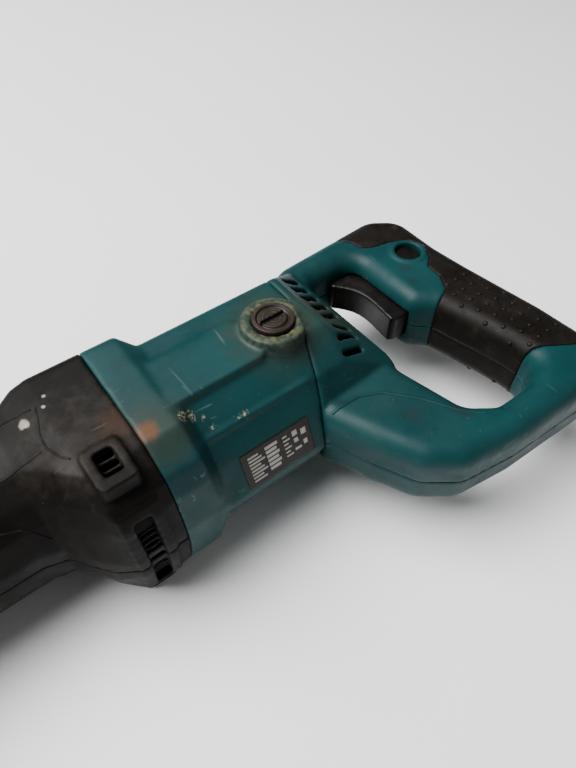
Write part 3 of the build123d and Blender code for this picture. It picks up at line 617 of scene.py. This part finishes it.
def coil_spring(node, wire, turns, joint=None):
    """A wound spring in place of a CAD node's plain tube; given a joint, it gets a mesh of its own."""
    low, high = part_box(node)
    middle = (low + high) / 2
    radius = (high.x - low.x) / 2 - wire
    length = high.z - low.z - 2 * wire
    steps = turns * STEPS_PER_TURN
    work = bmesh.new()
    rings = []
    for step in range(steps + 1):
        share = step / steps
        angle = 2 * math.pi * turns * share
        out = Vector((math.cos(angle), math.sin(angle), 0))
        centre = Vector((middle.x, middle.y, low.z + wire + length * share)) + out * radius
        ring = []
        for corner in range(WIRE_SIDES):
            turn = 2 * math.pi * corner / WIRE_SIDES
            spoke = out * math.cos(turn) + Vector((0, 0, math.sin(turn)))
            ring.append(work.verts.new(centre + spoke * wire))
        rings.append(ring)
    for first, second in zip(rings, rings[1:]):
        for corner in range(WIRE_SIDES):
            following = (corner + 1) % WIRE_SIDES
            work.faces.new((first[corner], first[following], second[following], second[corner]))
    work.faces.new(rings[0][::-1])
    work.faces.new(rings[-1])
    bmesh.ops.recalc_face_normals(work, faces=work.faces)
    mesh = bpy.data.meshes.new(node + "_coil")
    work.to_mesh(mesh)
    work.free()
    smooth_shaded(mesh)
    coil = add_object(node + "_coil", mesh)
    paint(coil, "steel")
    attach(coil, "housing")
    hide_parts(node)
    if joint:
        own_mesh(coil)


# Ridge lines as (x, y) points in mm: the covers' from the seam, the strut's from the brush caps.
COVER_LINES = (
    ((-25, 19), (-26.6, 12.5), (-28.7, 6.6), (-29, 0.3), (-26.6, -6.6), (-23.5, -10.5)),
    ((-66, 26), (-52, 25), (-38, 22.5), (-32, 20), (-26, 18.9)),
    ((-66, 3), (-56, 2.2), (-47, 1.5), (-39.5, 1.3), (-30, 0)),
    ((-66, -9.6), (-56, -10.1), (-50.7, -11.6), (-45.7, -15.3), (-43, -17.6)),
)

STRUT_LINE = ((3, -38), (18, -38.5), (28, -43.5), (39, -56.5), (48, -71), (57, -80))

for side in (1, -1):
    grip_dots(side)
    slot_screen(side)
    word = "left" if side > 0 else "right"
    strut = placed(BRUSH_X, *STRUT_LINE)
    bead("strut_line_" + word, strut, ["handle_" + word], 1.1 * MM, side, 0.55 * MM, "shell")
    for index, line in enumerate(COVER_LINES):
        name = "cover_line_%d_%s" % (index, word)
        bead(name, placed(SEAM_X, *line), ["front_cover_" + word], 0.55 * MM, side, 0.25 * MM, "cover")
plate_print()
coil_spring("brush_spring_left", 0.35 * MM, 6)
coil_spring("brush_spring_right", 0.35 * MM, 6)
coil_spring("lock_spring", 0.4 * MM, 4, "lock_button_press")
coil_spring("shoe_button_spring", 0.4 * MM, 4, "shoe_button_press")


# ---------------------------------------------------------------- floor, light and camera

FLOOR_HALF = 4.0
CAMERA_PLACE = (0.20849, -0.14539, 0.2200)
CAMERA_FORWARD = (0.387, 0.505, -0.772)
CAMERA_RIGHT = (0.793, -0.609, 0.0)
SENSOR_MM = 36.0
LENS_MM = 27.05


def plain_finish(name, low, high):
    """Nearly even matt finish."""
    f = Finish(name)
    colour = f.mix(low, high, f.level(f.noise(3, 4, 0.5), 0.3, 0.7))
    f.bump(f.noise(400, 3, 0.5), 0.04, 0.1 * MM)
    return f.done(colour, 0.75, specular=0.2)


def make_floor():
    """Pale sheet under the lower brush cap."""
    work = bmesh.new()
    corners = ((-1, -1), (1, -1), (1, 1), (-1, 1))
    verts = [work.verts.new((x * FLOOR_HALF, y * FLOOR_HALF, FLOOR_Z)) for x, y in corners]
    work.faces.new(verts)
    mesh = bpy.data.meshes.new("floor")
    work.to_mesh(mesh)
    work.free()
    floor = add_object("floor", mesh)
    mesh.materials.append(plain_finish("floor", (0.86, 0.85, 0.835), (0.89, 0.88, 0.87)))


def add_light(name, place, target, size, power, colour):
    """A square area light that points at a target."""
    data = bpy.data.lights.new(name, "AREA")
    data.size = size
    data.energy = power
    data.color = colour
    lamp = bpy.data.objects.new(name, data)
    bpy.context.scene.collection.objects.link(lamp)
    lamp.location = place
    lamp.rotation_euler = (Vector(target) - Vector(place)).to_track_quat("-Z", "Y").to_euler()


def make_camera():
    """Looks down over the saw's front left, as a hand-held camera would."""
    data = bpy.data.cameras.new("camera")
    data.sensor_width = SENSOR_MM
    data.lens = LENS_MM
    data.clip_start = 0.01
    camera = bpy.data.objects.new("camera", data)
    bpy.context.scene.collection.objects.link(camera)
    forward = Vector(CAMERA_FORWARD).normalized()
    right = Vector(CAMERA_RIGHT).normalized()
    up = right.cross(forward)
    turn = Matrix((right, up, -forward)).transposed()
    camera.matrix_world = Matrix.Translation(CAMERA_PLACE) @ turn.to_4x4()
    bpy.context.scene.camera = camera


def make_world():
    """Dim, even surroundings."""
    world = bpy.data.worlds.new("studio")
    bpy.context.scene.world = world
    world.use_nodes = True
    background = world.node_tree.nodes["Background"]
    background.inputs["Color"].default_value = (0.93, 0.96, 1.0, 1.0)
    background.inputs["Strength"].default_value = 0.12


make_floor()
make_world()
add_light("window", (-0.35, 0.50, 1.40), (0.3, -0.05, 0), 1.4, 92, (0.975, 0.985, 1.0))
add_light("fill", (1.2, -1.0, 1.1), (0.3, 0, 0), 1.4, 3, (1.0, 0.98, 0.96))
make_camera()
